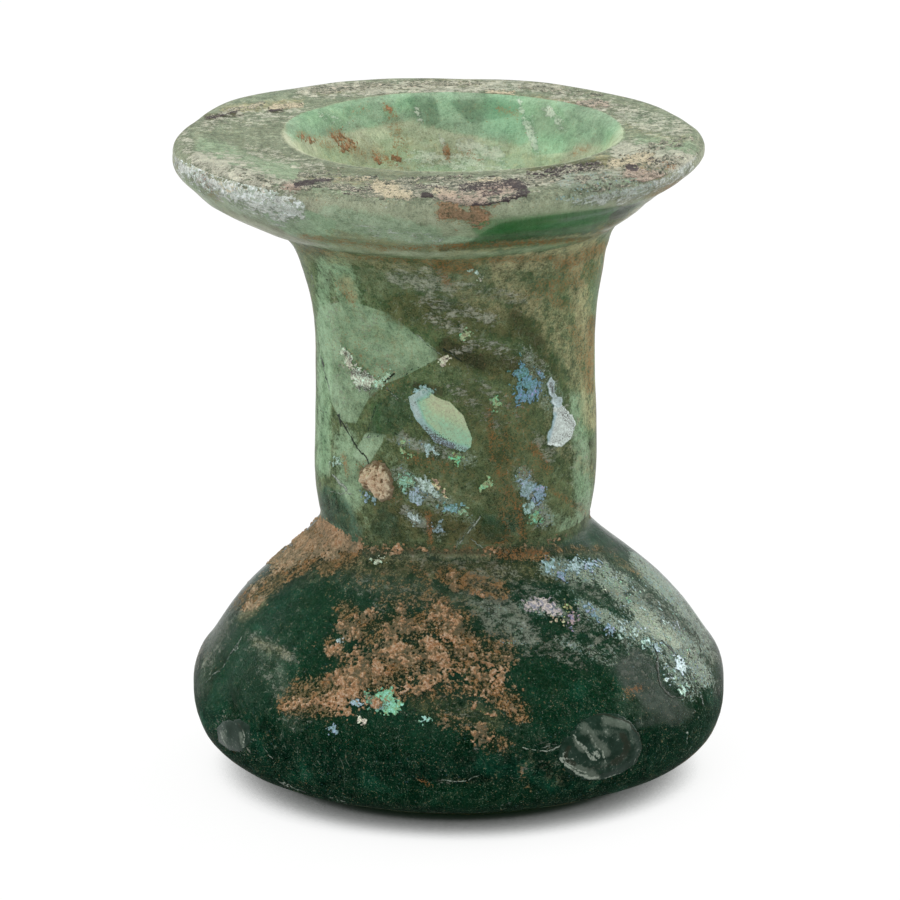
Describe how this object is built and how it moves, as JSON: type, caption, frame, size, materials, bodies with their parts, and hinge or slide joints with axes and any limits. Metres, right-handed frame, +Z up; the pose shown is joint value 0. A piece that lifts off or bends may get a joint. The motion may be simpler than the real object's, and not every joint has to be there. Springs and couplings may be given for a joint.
{
  "type": "cotton-reel jar",
  "caption": "Small blown green glass jar shaped like a cotton reel, with a squat hollow body, thick neck and wide flat rim, weathered and partly crusted with soil.",
  "frame": {"origin": "centre of the flat ring that the jar rests on, under the middle of the body", "axes": "+Z up along the neck's bore, -Y towards the side seen in the picture, +X to its right"},
  "size_m": [0.0421, 0.0413, 0.0504],
  "materials": {
    "bottle_green_glass": "glossy, weathered dull in places",
    "scar_glass": "rough broken glass",
    "baked_soil": "matt, granular",
    "lime_crust": "matt, streaky crust",
    "iridescent_layer": "thin pearly flakes with blue, green and violet sheen"
  },
  "bodies": {
    "root": {"glass_reservoir": "bottle_green_glass", "glass_neck": "bottle_green_glass", "glass_rim": "bottle_green_glass", "pontil_scar": "scar_glass", "soil_crust_front": "baked_soil", "soil_wedge_shoulder": "baked_soil", "soil_ring_groove": "baked_soil", "soil_lump_neck": "baked_soil", "soil_patch_rim_edge": "baked_soil", "soil_spots_mouth": "baked_soil", "lime_crust_rim_front": "lime_crust", "lime_crust_rim_right": "lime_crust", "lime_crust_rim_back": "lime_crust", "lime_film_rim_left": "lime_crust", "flake_neck_large": "iridescent_layer", "flake_neck_white": "iridescent_layer", "flakes_neck_blue": "iridescent_layer", "flakes_neck_yellow": "iridescent_layer", "flakes_neck_small": "iridescent_layer", "flakes_shoulder_blue": "iridescent_layer", "flakes_body_green": "iridescent_layer", "pearly_layer_right": "iridescent_layer"}
  },
  "joints": []
}
